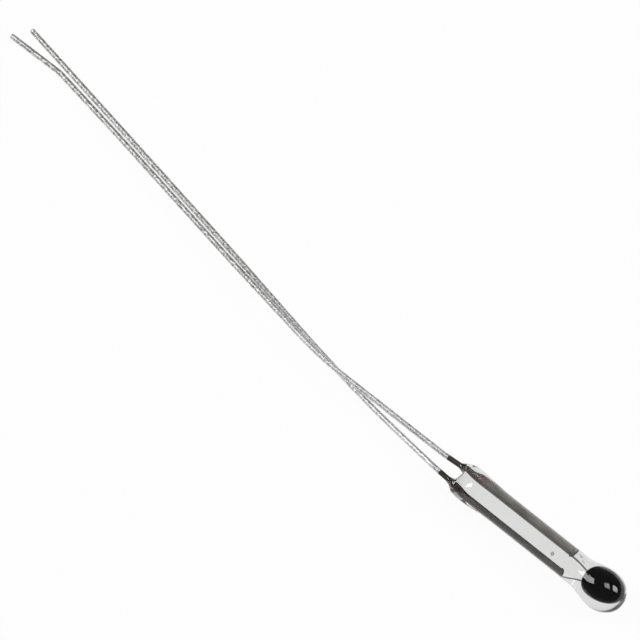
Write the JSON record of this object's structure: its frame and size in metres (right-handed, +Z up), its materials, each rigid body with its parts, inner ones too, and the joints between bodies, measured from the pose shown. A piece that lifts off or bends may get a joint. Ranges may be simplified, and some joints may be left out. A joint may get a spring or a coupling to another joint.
{
  "type": "bead thermistor",
  "caption": "Glass probe bead thermistor: a black ceramic bead sealed in the bulb of a clear glass rod, with tinned wire leads that cross behind the glass.",
  "frame": {"origin": "on the rod's axis, at the rear end of the straight barrel", "axes": "+X along the rod towards the bead, +Z up from the surface that the part lies on"},
  "size_m": [0.0518, 0.0073, 0.0026],
  "materials": {
    "glass": "clear, fire-polished",
    "bead_ceramic": "black, glossy",
    "tinned_wire": "bright tin plating with a lumpy surface, bare dark wire next to and inside the glass",
    "fine_wire": "dull bare metal"
  },
  "bodies": {
    "root": {"glass_body": "glass", "bead": "bead_ceramic", "lead_a": "tinned_wire", "lead_b": "tinned_wire", "bead_wire_a": "fine_wire", "bead_wire_b": "fine_wire"}
  },
  "joints": []
}
